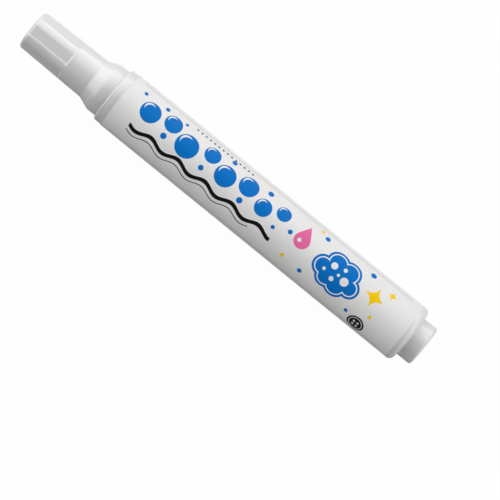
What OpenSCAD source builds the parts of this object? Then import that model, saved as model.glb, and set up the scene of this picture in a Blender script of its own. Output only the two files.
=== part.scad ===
// Stain remover pen, capped and lying on its side.
// Every length is in millimetres. The pen is drawn along its own axis first, with the closed end of the
// cap at zero and the tail at the far end, and lay() then sets it down along +X with +Z up.

/* [Barrel] */
// Outer diameter of the barrel at its bare ends
barrel_d = 17.5; // [16.5:0.1:22]
// Thickness of the barrel wall
barrel_wall = 1.2; // [0.9:0.05:1.4]
// Length of the barrel from the collar to the end of its rounded shoulder
barrel_len = 103.9; // [70:0.1:140]
// Radius of the rounded shoulder at the tail
shoulder_r = 1.65; // [0.8:0.05:2]
// Length of the stub behind the shoulder, on which the cap is parked
stub_len = 4.8; // [3:0.1:8]
// Radius of the rounded edge at the end of the stub
stub_round = 0.8; // [0.3:0.05:1.2]
// Thickness of the end wall inside the tail
tail_wall = 1.4; // [1:0.1:3]

/* [Label] */
// Thickness of the label film, which lies in a recess of the same depth
label_t = 0.13; // [0.08:0.01:0.3]
// Width of bare barrel in front of the label
label_front_gap = 0.3; // [0.1:0.05:3]
// Width of bare barrel between the label and the rounded shoulder
label_back_gap = 0.35; // [0.1:0.05:8]

/* [Nose] */
// How far the collar between the cap and the barrel lies below the surface of the barrel
collar_step = 0.2; // [0.05:0.05:0.5]
// Length of the collar that shows when the pen is capped
collar_len = 2.5; // [1.8:0.1:4]
// Radius of the rounded front edge of the collar
collar_round = 0.9; // [0.3:0.05:0.9]
// Diameter of the seat that the cap grips
seat_d = 12.4; // [12.2:0.05:12.8]
// Length of the seat in front of the collar
seat_len = 2.7; // [2:0.1:4]
// Length of the cone between the seat and the neck
cone_len = 3.35; // [2.6:0.05:5]
// Diameter of the neck where it meets the cone
neck_back_d = 8.9; // [8.6:0.05:9.2]
// Diameter of the neck behind the mouth
neck_front_d = 8.3; // [8.2:0.05:8.5]
// Length of the neck
neck_len = 7.15; // [6:0.05:10]
// Number of ribs on the cone
rib_count = 4; // [2:1:6]
// Height of the small step between the cone and the seat
seat_step = 0.24; // [0.15:0.01:0.4]
// Thickness of one rib
rib_w = 0.7; // [0.4:0.05:1.2]
// Radius of the ribs at their front end
rib_front_r = 5; // [4.7:0.05:5.2]
// Length by which the ribs run out on the neck
rib_lead = 1; // [0.6:0.1:2]
// Bore of the neck
neck_bore_d = 7.2; // [7:0.05:7.3]
// Bore of the valve chamber behind the neck
chamber_d = 10.4; // [10:0.1:10.6]
// Length of the valve chamber
chamber_len = 5.5; // [4:0.1:8]
// Length of the skirt that plugs into the barrel
skirt_len = 8.7; // [8:0.1:14]
// Thickness of the skirt wall
skirt_wall = 1.5; // [1.1:0.05:1.8]
// Distance from the collar to the snap bead on the skirt
bead_at = 1.8; // [1.2:0.1:2.4]
// Distance from the collar to the seal groove on the skirt
seal_at = 4.6; // [4.2:0.1:6]

/* [Mouth bush and nib] */
// Diameter of the flange at the mouth
flange_d = 8.6; // [8.4:0.05:8.65]
// Thickness of the flange
flange_len = 1.3; // [0.8:0.05:2]
// Length of the bush inside the neck
bush_len = 4.3; // [3.4:0.1:4.6]
// Thickness of the end wall of the bush
bush_end = 1.1; // [0.8:0.05:1.4]
// Width of the nib across its edge
nib_w = 5.8; // [4.5:0.05:5.9]
// Thickness of the nib
nib_t = 4.4; // [3:0.05:4.5]
// Radius of the long corners of the nib
nib_corner = 1.2; // [0.8:0.05:1.4]
// Length of the nib that stands out of the flange
nib_reach = 8.5; // [6:0.1:8.6]
// Length of the sloping faces at the tip
facet_len = 3.8; // [2:0.1:5]
// Thickness of the tip edge
tip_t = 0.5; // [0.3:0.05:1]
// Radius of the two corners of the tip edge, seen from above
tip_corner = 0.6; // [0.2:0.05:1]
// Length of the nib block inside the bush at rest
nib_depth = 2.8; // [1.5:0.1:2.9]
// Diameter of the nib shank
shank_d = 3.2; // [2.4:0.1:3.4]
// Distance that the nib presses in to open the valve
nib_travel = 1.5; // [0.8:0.1:1.5]

/* [Valve] */
// Hole through the valve passage, which the fluid flows through
passage_d = 4.8; // [4.2:0.1:5.2]
// Thickness of the rubber valve seal
seal_t = 1.2; // [0.8:0.1:2]
// Diameter of the valve stem in front of its head
pin_d = 3; // [2.2:0.1:3.2]
// Length by which the valve stem stands out in front of the seal
pin_lead = 1.6; // [1:0.1:2.2]
// Diameter of the valve head
head_d = 7; // [6.4:0.1:7.6]
// Thickness of the valve head
head_t = 1.2; // [0.8:0.1:2]
// Diameter of the guide rod behind the head
rod_d = 2.6; // [2:0.1:3]
// Length of the valve cage
cage_len = 11.8; // [10.6:0.1:12.2]
// Wall of the valve cage
cage_wall = 0.8; // [0.6:0.05:1]
// Thickness of the rear wall of the cage
cage_end = 1; // [0.8:0.1:1.6]
// Number of flow windows in the side of the cage
window_count = 4; // [3:1:5]
// Width of one flow window
window_w = 2.4; // [1.4:0.1:3]
// Length of one flow window
window_len = 3.4; // [2:0.1:4]
// Distance of the windows from the rear wall of the cage
window_gap = 1.2; // [0.8:0.1:2]
// Number of curls of the valve spring
spring_curls = 6; // [4:1:7]
// Diameter of the spring wire
wire_d = 0.5; // [0.3:0.05:0.55]
// Diameter of the spring, measured on the middle of its wire
spring_d = 4.6; // [4.2:0.1:5.4]

/* [Cap] */
// Length of the cap
cap_len = 28.7; // [27.8:0.1:36]
// Diameter of the cap at its closed end
cap_tip_d = 11.9; // [11.8:0.05:12.2]
// Diameter of the cap where its flare starts
cap_waist_d = 12.6; // [12.3:0.05:12.8]
// Diameter of the cap skirt
cap_skirt_d = 15.4; // [14.8:0.1:16.2]
// Length of the cap skirt, from the mouth to the corner of the flare
cap_skirt_len = 3; // [2:0.1:3.4]
// Length of the straight flare
flare_len = 3.55; // [3.2:0.05:4.6]
// Radius of the hollow where the flare starts
waist_round = 2; // [1:0.1:3]
// Radius of the rounded corner between the flare and the skirt
flare_round = 3.2; // [2:0.1:4]
// Radius of the rounded edge at the closed end
cap_round = 1.05; // [0.4:0.05:1.4]
// Thickness of the closed end of the cap
cap_end = 1; // [0.8:0.05:1.05]
// Bore of the cap around its inner sleeve
cap_bore_d = 10.2; // [10:0.05:10.4]
// Number of grip flats
flat_count = 6; // [3:1:8]
// Length of the grip flats
flat_len = 14; // [8:0.1:18]
// Depth of the grip flats at the closed end
flat_depth = 0.3; // [0.15:0.01:0.35]
// How much deeper the grip flats are at their other end
flat_gain = 0.1; // [0:0.01:0.15]
// Angle at which the cap happens to be pushed on
cap_turn = 3.5; // [0:0.5:45]
// Length by which the inner sleeve reaches past the flange at the mouth
sleeve_grip = 1.4; // [0.4:0.1:3]
// Thickness of the closed end of the inner sleeve
sleeve_end = 0.6; // [0.5:0.05:0.65]

/* [Fill] */
// Height of the fluid above the axis of the pen
fluid_level = 1.5; // [-3:0.1:4]
// Distance of the fluid from the end of the skirt
fluid_gap = 1; // [0.5:0.1:5]

/* [Fits] */
// Radial clearance of the cap on its seat
seat_fit = 0.04; // [0.02:0.01:0.1]
// Radial clearance between the inner sleeve and the flange
sleeve_fit = 0.05; // [0.03:0.01:0.1]
// Radial clearance between pieces that are pushed together for good
push_fit = 0.02; // [0.01:0.01:0.05]
// Clearance round the nib and round its shank
nib_fit = 0.05; // [0.03:0.01:0.1]
// Gap between the mouth of the cap and the collar
cap_gap = 0.1; // [0.05:0.05:0.4]
// Radial clearance of the guide rod in the cage
rod_fit = 0.05; // [0.03:0.01:0.1]

/* [Hidden] */
$fn = 96;

white = [0.95, 0.95, 0.945];
pale = [0.93, 0.93, 0.92];
rubber = [0.25, 0.26, 0.28];

// Overlap of two shapes that make one solid, and reach of a cutting shape beyond the solid it cuts
join = 0.5;
past = 1;

// Stations along the axis, counted from the closed end of the cap
collar_at = cap_len + cap_gap;
barrel_at = collar_at + collar_len;
shoulder_at = barrel_at + barrel_len;
total_len = shoulder_at + stub_len;
seat_at = collar_at - seat_len;
cone_at = seat_at - cone_len;
neck_at = cone_at - neck_len;
flange_at = neck_at - flange_len;
nib_at = flange_at - nib_reach;
bush_end_at = neck_at + bush_len;
chamber_at = seat_at;
skirt_end_at = barrel_at + skirt_len;

// Barrel and its recess
barrel_r = barrel_d / 2;
collar_r = barrel_r - collar_step;
bore_r = barrel_r - barrel_wall;
stub_r = seat_d / 2;
stub_bore_r = stub_r - barrel_wall;
label_from = barrel_at + label_front_gap;
label_to = shoulder_at - shoulder_r - label_back_gap;
bore_end_at = shoulder_at - shoulder_r;

// Snap bead and seal ring between the nose and the barrel
bead_h = 0.15;
bead_w = 0.9;
bead_relief = 0.08;
rib_sink = 0.6;
skirt_r = bore_r - push_fit * 2;
skirt_bore_r = skirt_r - skirt_wall;
ring_t = 0.8;
ring_groove_w = ring_t + 0.3;
ring_groove_r = bore_r - ring_t;

// Valve stations
seal_end_at = chamber_at + seal_t;
head_at = seal_end_at + push_fit;
head_end_at = head_at + head_t;
cage_at = seal_end_at;
cage_end_at = cage_at + cage_len;
spring_from = head_end_at;
spring_to = cage_end_at - cage_end;
cage_r = chamber_d / 2 - push_fit;
rod_reach = 0.2;
fluid_at = skirt_end_at + fluid_gap;

// Nib stations
nib_back_at = flange_at + nib_depth;
shank_end_at = chamber_at - pin_lead;
absorber_gap = 0.3;
absorber_end_gap = 0.1;
absorber_len = cone_at - bush_end_at - absorber_end_gap * 2;
passage_at = cone_at;

// Cap stations
flare_at = cap_len - cap_skirt_len - flare_len;
cap_slope = atan((cap_waist_d - cap_tip_d) / 2 / flare_at);
flare_slope = atan((cap_skirt_d - cap_waist_d) / 2 / flare_len);
cap_seat_r = seat_d / 2 + seat_fit;
inner_flare_len = 3.6;
inner_flare_lead = 1;
inner_flare_at = flare_at - inner_flare_lead;
mouth_chamfer = 0.25;
sleeve_r = cap_bore_d / 2 - push_fit * 2;
sleeve_bore_r = flange_d / 2 + sleeve_fit;
sleeve_at = cap_end + push_fit;
sleeve_to = neck_at + sleeve_grip;

// Sets the pen down on its side, with the closed end of the cap towards -X
module lay() {
    translate([-total_len / 2, 0, barrel_r])
        rotate([0, 90, 0])
            children();
}

// Points of a quarter circle about a centre, from one angle to another
function arc(cx, cy, r, a0, a1, steps = 8) =
    [for (i = [0:steps]) let (a = a0 + (a1 - a0) * i / steps) [cx + r * cos(a), cy + r * sin(a)]];

// A round bar between two stations
module bar(r, from, to) {
    translate([0, 0, from])
        cylinder(r = r, h = to - from);
}

// A round tube between two stations
module tube(r_out, r_in, from, to) {
    rotate_extrude()
        translate([r_in, from])
            square([r_out - r_in, to - from]);
}

// A rectangle with round corners, on circles so that its corners stay true
module round_rect(w, h, r) {
    square([w - 2 * r, h], center = true);
    square([w, h - 2 * r], center = true);
    for (sx = [-1, 1], sy = [-1, 1])
        translate([sx * (w / 2 - r), sy * (h / 2 - r)])
            circle(r = r);
}

// Outline of the barrel from the front rim to the end of the stub, with the label recess
function barrel_outline() = concat(
    [[bore_r, barrel_at],
     [barrel_r, barrel_at],
     [barrel_r, label_from],
     [barrel_r - label_t, label_from],
     [barrel_r - label_t, label_to],
     [barrel_r, label_to]],
    arc(barrel_r - shoulder_r, shoulder_at - shoulder_r, shoulder_r, 0, 90),
    [[stub_r, shoulder_at]],
    arc(stub_r - stub_round, total_len - stub_round, stub_round, 0, 90, 6),
    [[0, total_len],
     [0, total_len - tail_wall],
     [stub_bore_r, total_len - tail_wall],
     [stub_bore_r, bore_end_at],
     [bore_r, bore_end_at]]);

// Barrel, one moulding with its tail and parking stub
module barrel() {
    bead_mid = barrel_at + bead_at;
    color(white)
        lay()
            difference() {
                rotate_extrude() polygon(barrel_outline());
                tube(bore_r + bead_h, bore_r / 2, bead_mid - bead_w / 2 - bead_relief,
                     bead_mid + bead_w / 2 + bead_relief);
            }
}

// Label, a wrap of film in the barrel's recess
module label() {
    color(pale)
        lay()
            tube(barrel_r, barrel_r - label_t, label_from, label_to);
}

// Outline of the nose from the mouth back to the end of its skirt
function nose_outline() = concat(
    [[neck_bore_d / 2, neck_at],
     [neck_front_d / 2, neck_at],
     [neck_back_d / 2, cone_at],
     [seat_d / 2 - seat_step, seat_at],
     [seat_d / 2, seat_at],
     [seat_d / 2, collar_at]],
    arc(collar_r - collar_round, collar_at + collar_round, collar_round, -90, 0),
    [[collar_r, barrel_at],
     [skirt_r, barrel_at],
     [skirt_r, barrel_at + bead_at - bead_w / 2],
     [skirt_r + bead_h, barrel_at + bead_at],
     [skirt_r, barrel_at + bead_at + bead_w / 2],
     [skirt_r, barrel_at + seal_at - ring_groove_w / 2],
     [ring_groove_r, barrel_at + seal_at - ring_groove_w / 2],
     [ring_groove_r, barrel_at + seal_at + ring_groove_w / 2],
     [skirt_r, barrel_at + seal_at + ring_groove_w / 2],
     [skirt_r, skirt_end_at],
     [skirt_bore_r, skirt_end_at],
     [skirt_bore_r, chamber_at + chamber_len],
     [chamber_d / 2, chamber_at + chamber_len],
     [chamber_d / 2, chamber_at],
     [passage_d / 2, chamber_at],
     [passage_d / 2, passage_at],
     [neck_bore_d / 2, passage_at]]);

// One rib of the cone, from the neck to the seat, with its hidden edges inside the wall of the nose
module rib() {
    root_r = neck_back_d / 2 - rib_sink;
    back_r = seat_d / 2 - seat_step / 2;
    inner_r = chamber_d / 2 + rib_sink / 2;
    rotate([90, 0, 0])
        linear_extrude(height = rib_w, center = true)
            polygon([[root_r, cone_at - rib_lead],
                     [rib_front_r, cone_at],
                     [back_r, seat_at],
                     [back_r, seat_at + join],
                     [inner_r, seat_at + join],
                     [inner_r, seat_at - join],
                     [root_r, seat_at - join * 2]]);
}

// Nose housing: collar, cap seat, ribbed cone and neck in front, skirt and valve chamber behind
module nose_housing() {
    color(white)
        lay()
            union() {
                rotate_extrude() polygon(nose_outline());
                for (i = [0:rib_count - 1])
                    rotate([0, 0, 45 + i * 360 / rib_count])
                        rib();
            }
}

// Bush that guides the nib in the neck, with the flange at the mouth
module nib_bush() {
    block_end = bush_end_at - bush_end;
    color(white)
        lay()
            difference() {
                union() {
                    bar(flange_d / 2, flange_at, neck_at);
                    bar(neck_bore_d / 2 - push_fit, neck_at, bush_end_at);
                }
                translate([0, 0, flange_at - past])
                    linear_extrude(height = block_end - flange_at + past)
                        round_rect(nib_t + 2 * nib_fit, nib_w + 2 * nib_fit, nib_corner + nib_fit);
                bar(shank_d / 2 + nib_fit, block_end - past, bush_end_at + past);
            }
}

// Foam ring round the nib shank, which evens out the flow
module absorber() {
    color([0.9, 0.88, 0.84])
        lay()
            tube(neck_bore_d / 2 - push_fit, shank_d / 2 + absorber_gap,
                 bush_end_at + absorber_end_gap, bush_end_at + absorber_end_gap + absorber_len);
}

// Side outline of the nib block, a wedge with a narrow edge
module nib_side() {
    polygon([[-tip_t / 2, nib_at],
             [tip_t / 2, nib_at],
             [nib_t / 2, nib_at + facet_len],
             [nib_t / 2, nib_back_at],
             [-nib_t / 2, nib_back_at],
             [-nib_t / 2, nib_at + facet_len]]);
}

// Plan of the nib block, with the two corners of its edge rounded
module nib_plan() {
    translate([-nib_w / 2, nib_at + tip_corner])
        square([nib_w, nib_back_at - nib_at - tip_corner]);
    translate([tip_corner - nib_w / 2, nib_at])
        square([nib_w - 2 * tip_corner, tip_corner * 2]);
    for (side = [-1, 1])
        translate([side * (nib_w / 2 - tip_corner), nib_at + tip_corner])
            circle(r = tip_corner);
}

// Chisel nib, a block of porous plastic with a round shank behind
module nib() {
    color([0.96, 0.96, 0.955])
        lay()
            union() {
                intersection() {
                    translate([0, 0, nib_at - past])
                        linear_extrude(height = nib_back_at - nib_at + past)
                            round_rect(nib_t, nib_w, nib_corner);
                    rotate([90, 0, 0])
                        linear_extrude(height = nib_w + past * 2, center = true)
                            nib_side();
                    rotate([90, 0, 90])
                        linear_extrude(height = nib_t + past * 2, center = true)
                            nib_plan();
                }
                bar(shank_d / 2, nib_back_at - join, shank_end_at);
            }
}

// Rubber ring that the valve head closes on
module valve_seal() {
    color(rubber)
        lay()
            tube(chamber_d / 2 - push_fit, passage_d / 2, chamber_at, seal_end_at);
}

// Valve stem: a pin that the nib pushes, the head, and a guide rod
module valve_stem() {
    color([0.9, 0.91, 0.92])
        lay()
            union() {
                bar(pin_d / 2, shank_end_at, head_at + head_t / 2);
                bar(head_d / 2, head_at, head_end_at);
                bar(rod_d / 2, head_at + head_t / 2, cage_end_at + rod_reach);
            }
}

// Valve cage, a slotted cup behind the seal
module valve_cage() {
    window_at = spring_to - window_gap - window_len;
    color([0.92, 0.93, 0.95])
        lay()
            difference() {
                bar(cage_r, cage_at, cage_end_at);
                bar(cage_r - cage_wall, cage_at - past, spring_to);
                bar(rod_d / 2 + rod_fit, spring_to - past, cage_end_at + past);
                for (i = [0:window_count - 1])
                    rotate([0, 0, i * 360 / window_count])
                        translate([cage_r / 2, -window_w / 2, window_at])
                            cube([cage_r, window_w, window_len]);
            }
}

// Points along the middle of the spring wire: straight end, curls, straight end
ring_steps = 8;
spring_len = spring_to - spring_from;
wire_gap = 0.01;
helix_len = spring_len - 2 * wire_d - 2 * wire_gap;
function helix_point(i) =
    let (a = 360 * i / ring_steps)
    [spring_d / 2 * cos(a), spring_d / 2 * sin(a),
     spring_from + wire_gap + wire_d + helix_len * i / (ring_steps * spring_curls)];
spring_path = concat(
    [[spring_d / 2, 0, spring_from + wire_gap]],
    [for (i = [0:ring_steps * spring_curls]) helix_point(i)],
    [[spring_d / 2, 0, spring_to - wire_gap]]);

// Direction of the wire at each point
function unit(v) = v / norm(v);
function along(p, i) =
    i == 0 ? unit(p[1] - p[0])
    : i == len(p) - 1 ? unit(p[i] - p[i - 1])
    : unit(unit(p[i + 1] - p[i]) + unit(p[i] - p[i - 1]));

// One ring of the wire, square to its direction, with the first point on the outer side
wire_sides = 6;
function wire_ring(p, i) =
    let (t = along(p, i),
         out = unit([p[i][0], p[i][1], 0]),
         side = unit(cross(t, out)),
         up = cross(side, t))
    [for (k = [0:wire_sides - 1])
        p[i] + wire_d / 2 * (cos(360 * k / wire_sides) * up + sin(360 * k / wire_sides) * side)];

// Faces between the rings, as triangles, and the two ends
function wire_faces(n) = concat(
    [for (i = [0:n - 2], k = [0:wire_sides - 1])
        let (a = i * wire_sides + k, b = i * wire_sides + (k + 1) % wire_sides)
        [a, b, b + wire_sides]],
    [for (i = [0:n - 2], k = [0:wire_sides - 1])
        let (a = i * wire_sides + k, b = i * wire_sides + (k + 1) % wire_sides)
        [a, b + wire_sides, a + wire_sides]],
    [for (k = [1:wire_sides - 2]) [0, k + 1, k]],
    [for (k = [1:wire_sides - 2])
        let (s = (n - 1) * wire_sides)
        [s, s + k, s + k + 1]]);

// Least gap between one stretch of the wire and another that is half a curl or more away
spring_gap = min([for (i = [0:len(spring_path) - 1], j = [0:len(spring_path) - 1])
    if (j - i >= ring_steps / 2) norm(spring_path[i] - spring_path[j])]) - wire_d;
echo(str("Least gap between the curls of the valve spring: ", spring_gap, " mm"));

// Valve spring, one unbroken wire
module valve_spring() {
    rings = len(spring_path);
    color([0.75, 0.76, 0.78])
        lay()
            polyhedron(points = [for (i = [0:rings - 1]) each wire_ring(spring_path, i)],
                       faces = wire_faces(rings));
}

// Seal ring between the nose skirt and the barrel
module barrel_seal() {
    section_d = ring_t - push_fit * 2;
    color(rubber)
        lay()
            rotate_extrude()
                translate([bore_r - push_fit - section_d / 2, barrel_at + seal_at])
                    circle(d = section_d, $fn = 32);
}

// Cleaning fluid, settled with a level surface in the lying barrel
module cleaning_fluid() {
    color([0.8, 0.88, 0.92, 0.5])
        lay()
            difference() {
                bar(bore_r - push_fit, fluid_at, bore_end_at - push_fit);
                translate([-barrel_d - fluid_level, -barrel_d / 2, fluid_at - past])
                    cube([barrel_d, barrel_d, bore_end_at - fluid_at + past * 2]);
            }
}

// Arc that rounds a corner of an outline where its slope to the axis changes from one angle to another
function corner(p, r, from, to) =
    let (turn = sign(to - from),
         reach = r / cos((to - from) / 2),
         middle = (from + to) / 2,
         cx = p[0] + turn * reach * cos(middle),
         cy = p[1] - turn * reach * sin(middle),
         start = turn > 0 ? 180 : 0)
    arc(cx, cy, r, start - from, start - to);

// Outline of the cap, outside and then inside
function cap_outline() = concat(
    [[0, 0]],
    arc(cap_tip_d / 2 + cap_round * tan(cap_slope) - cap_round, cap_round, cap_round, -90, 0),
    corner([cap_waist_d / 2, flare_at], waist_round, cap_slope, flare_slope),
    corner([cap_skirt_d / 2, flare_at + flare_len], flare_round, flare_slope, 0),
    [[cap_skirt_d / 2, cap_len],
     [cap_seat_r + mouth_chamfer, cap_len],
     [cap_seat_r, cap_len - mouth_chamfer],
     [cap_seat_r, inner_flare_at + inner_flare_len],
     [cap_bore_d / 2, inner_flare_at],
     [cap_bore_d / 2, cap_end],
     [0, cap_end]]);

// Cap shell with its grip flats, which lean with the taper of the cap
module cap_shell() {
    flat_w = cap_waist_d / 2;
    lean = atan(tan(cap_slope) - flat_gain / flat_len);
    color(white)
        lay()
            difference() {
                rotate_extrude() polygon(cap_outline());
                for (i = [0:flat_count - 1])
                    rotate([0, 0, cap_turn + i * 360 / flat_count])
                        translate([cap_tip_d / 2 - flat_depth, -flat_w / 2, 0])
                            rotate([0, lean, 0])
                                translate([0, 0, -past])
                                    cube([flat_w, flat_w, flat_len + past]);
            }
}

// Inner sleeve of the cap, a thimble that closes round the flange so that the nib stays wet
module cap_sleeve() {
    color(pale)
        lay()
            difference() {
                bar(sleeve_r, sleeve_at, sleeve_to);
                bar(sleeve_bore_r, sleeve_at + sleeve_end, sleeve_to + past);
            }
}

barrel();
label();
nose_housing();
nib_bush();
absorber();
nib();
valve_seal();
valve_stem();
valve_spring();
valve_cage();
barrel_seal();
cleaning_fluid();
cap_shell();
cap_sleeve();
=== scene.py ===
# %% [markdown]
# # A stain remover pen, dressed around its CAD frame
# The pen lies along X with its cap towards -X. The packed CAD model gives the bodies, the joints and the
# pieces hidden inside, and the sizes below repeat its own, apart from a few small roundings. This script
# adds what is seen: softened edges, the printed film and the finish of each plastic.

# %% Load the frame
import math

import bmesh
import bpy
from mathutils import Matrix, Vector


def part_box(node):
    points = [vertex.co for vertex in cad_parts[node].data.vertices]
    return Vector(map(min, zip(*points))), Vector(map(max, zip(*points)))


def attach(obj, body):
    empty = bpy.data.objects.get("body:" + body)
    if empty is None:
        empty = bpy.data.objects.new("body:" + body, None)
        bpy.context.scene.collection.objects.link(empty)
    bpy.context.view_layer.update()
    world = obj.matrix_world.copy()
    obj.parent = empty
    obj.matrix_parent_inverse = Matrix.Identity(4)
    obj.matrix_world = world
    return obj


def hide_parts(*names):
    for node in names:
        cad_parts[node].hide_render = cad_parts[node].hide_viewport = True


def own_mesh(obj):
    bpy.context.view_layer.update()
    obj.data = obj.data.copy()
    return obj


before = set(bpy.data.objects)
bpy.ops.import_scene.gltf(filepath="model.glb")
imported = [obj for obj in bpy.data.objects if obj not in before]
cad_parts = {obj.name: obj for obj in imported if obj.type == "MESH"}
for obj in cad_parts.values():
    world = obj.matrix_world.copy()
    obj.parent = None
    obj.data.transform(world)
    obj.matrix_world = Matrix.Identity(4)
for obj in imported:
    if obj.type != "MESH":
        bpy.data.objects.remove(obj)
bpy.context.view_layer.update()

# %% [markdown]
# ## Stations along the pen
# A pen is a turned shape, so it is easiest to describe as a turner would: a station in millimetres from
# the closed end of the cap, a radius, and a turn about the axis. The turn is zero at the front of the
# label, which faces up, and grows towards -Y. Points could be typed in as x, y and z, but then each
# round form would need its own sines. Here one function turns the three numbers into a point of the
# shared frame.

# %% Points from station, radius and turn
MM = 0.001
HALF_LENGTH = 70.0
BARREL_R = 8.75


def place(t, r, turn):
    """The point at station t and radius r, in millimetres, at an angle about the axis, in metres."""
    return ((t - HALF_LENGTH) * MM, -r * math.sin(turn) * MM, (BARREL_R + r * math.cos(turn)) * MM)


def station(x):
    """The station of a place x in the frame."""
    return x / MM + HALF_LENGTH


barrel_front = station(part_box("barrel")[0].x)
print("the barrel starts at station", round(barrel_front, 3))

# %% [markdown]
# ## Profiles with rounded corners
# A moulded edge is never sharp: the mould is cut with a round tool, and a sharp edge would not fill. A
# bevel modifier could soften a finished mesh, but it needs even faces all round. Here the profile is
# soft before it is turned: it is a list of corners (station, radius, rounding), and this helper puts the
# arcs in. The small arcs catch the light as thin bright lines, which is most of what makes plastic look
# like plastic.

# %% Rounded profiles
ARC_STEP = 9


def rounded(corners):
    """The points (t, r) of a line through corners (t, r, rounding), with each rounding as an arc."""
    path = []
    for index, corner in enumerate(corners):
        here = Vector(corner[:2])
        radius = corner[2] if len(corner) > 2 else 0
        if not radius:
            path.append(tuple(here))
            continue
        to_last = (Vector(corners[index - 1][:2]) - here).normalized()
        to_next = (Vector(corners[(index + 1) % len(corners)][:2]) - here).normalized()
        opening = to_last.angle(to_next)
        cut = radius / math.tan(opening / 2)
        middle = here + (to_last + to_next).normalized() * radius / math.sin(opening / 2)
        first, last = here + to_last * cut - middle, here + to_next * cut - middle
        sweep = math.pi - opening
        steps = max(2, math.ceil(math.degrees(sweep) / ARC_STEP))
        for step in range(steps + 1):
            share = step / steps
            arm = first * math.sin((1 - share) * sweep) + last * math.sin(share * sweep)
            path.append(tuple(middle + arm / math.sin(sweep)))
    return path


print("a 1 mm corner becomes", len(rounded([(0, 0), (5, 0, 1), (5, 5)])), "points")

# %% [markdown]
# ## From rings to a skin
# Every piece of the pen that is made here is a stack of rings. By hand, Blender's Bridge Edge Loops
# would join them. A script knows the order of the points already, so this function makes the faces
# itself. It also turns them outward, marks the true creases and adds a weighted-normal modifier, which
# keeps flat faces flat next to small arcs.

# %% Skin
CREASE = math.radians(35)


def skin(name, rings, loop=False):
    """One closed mesh object from rings of points; a ring of one point closes an end."""
    shape = bmesh.new()
    rows = [[shape.verts.new(point) for point in ring] for ring in rings]
    pairs = list(zip(rows, rows[1:])) + ([(rows[-1], rows[0])] if loop else [])
    for low, high in pairs:
        count = max(len(low), len(high))
        for i in range(count):
            j = (i + 1) % count
            around = [low[i % len(low)], low[j % len(low)], high[j % len(high)], high[i % len(high)]]
            corners = list(dict.fromkeys(around))
            if len(corners) > 2:
                shape.faces.new(corners)
    bmesh.ops.recalc_face_normals(shape, faces=shape.faces)
    for face in shape.faces:
        face.smooth = True
    for edge in shape.edges:
        edge.smooth = not edge.is_manifold or edge.calc_face_angle(0) < CREASE
    mesh = bpy.data.meshes.new(name)
    shape.to_mesh(mesh)
    shape.free()
    piece = bpy.data.objects.new(name, mesh)
    bpy.context.scene.collection.objects.link(piece)
    even = piece.modifiers.new("even_shading", "WEIGHTED_NORMAL")
    even.keep_sharp = True
    print(name, len(mesh.vertices), "points", len(mesh.polygons), "faces")
    return piece


print("edges sharper than", round(math.degrees(CREASE)), "degrees stay creases")

# %% [markdown]
# ## A lathe that can leave the round
# Blender's Screw modifier turns a profile too, but only into a plain round, and the cap, the nose and
# the label each leave the round somewhere. This lathe can be given a function with another radius for
# each point, so the same few lines turn a plain tube and a cap with flats.

# %% Lathe
ON_AXIS = 1e-6
COARSE, FINE, FINEST = 160, 240, 360


def lathe(name, path, segments, reshape=None, loop=False):
    """A turned piece; reshape(t, r, turn) may give another radius at each point."""
    turns = [2 * math.pi * i / segments for i in range(segments)]
    rings = []
    for t, r in path:
        if r < ON_AXIS:
            rings.append([place(t, 0, 0)])
        else:
            rings.append([place(t, reshape(t, r, turn) if reshape else r, turn) for turn in turns])
    return skin(name, rings, loop)


print("a piece has", COARSE, FINE, "or", FINEST, "faces round it")

# %% [markdown]
# ## Shader maths in Python
# A material is a net of nodes. It could be drawn in the shader editor, or each node could be made by
# hand in the script, but long formulas are hard to read as nodes. This small class wraps one socket, so
# that an expression such as `1 - mask * 0.5` adds its Math nodes by itself.

# %% The socket class
class Field:
    """A number, vector or colour that varies over a surface, held as the socket that gives it."""

    def __init__(self, net, socket):
        self.net, self.socket = net, socket

    def math(self, operation, *values):
        """A Math node that works on some values."""
        return self.net.node("Math", {"operation": operation}, dict(enumerate(values)))

    def __add__(self, other):
        return self.math("ADD", self, other)

    def __radd__(self, other):
        return self.math("ADD", other, self)

    def __sub__(self, other):
        return self.math("SUBTRACT", self, other)

    def __rsub__(self, other):
        return self.math("SUBTRACT", other, self)

    def __mul__(self, other):
        return self.math("MULTIPLY", self, other)

    def __rmul__(self, other):
        return self.math("MULTIPLY", other, self)

    def __truediv__(self, other):
        return self.math("DIVIDE", self, other)

    def __rtruediv__(self, other):
        return self.math("DIVIDE", other, self)

    def __neg__(self):
        return self.math("MULTIPLY", self, -1.0)

    def __abs__(self):
        return self.math("ABSOLUTE", self)

    def root(self):
        """The square root."""
        return self.math("SQRT", self)

    def sine(self):
        """The sine of an angle in radians."""
        return self.math("SINE", self)

    def angle_with(self, other):
        """The angle of the direction whose sideways part is this and whose forward part is other."""
        return self.math("ARCTAN2", self, other)

    def lower(self, other):
        """The lower of two values: of two distances, the union of their forms."""
        return self.math("MINIMUM", self, other)

    def higher(self, other):
        """The higher of two values: of two distances, what their forms share."""
        return self.math("MAXIMUM", self, other)

    def repeat(self, low, high):
        """The value brought back between low and high, over and over."""
        return self.math("WRAP", self, high, low)

    def clamp(self):
        """The value kept between 0 and 1."""
        return self.net.node("Clamp", {}, {"Value": self})

    def inside(self, edge=0.08):
        """1 where this distance is below zero and 0 where it is above, with a soft edge."""
        return (0.5 - self / edge).clamp()


print("a field also knows", ", ".join(name for name in vars(Field) if not name.startswith("_")))

# %% [markdown]
# ## Nets and finishes
# Every other kind of node comes from the one method `node`, which sets the node's own settings first and
# then its sockets. A finish is a net with a Principled shader at its end. What is the same all over a
# surface, such as its index of refraction, is set on the shader's own socket, and what varies is linked
# to one of the sockets that an exporter can bake.

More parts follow.
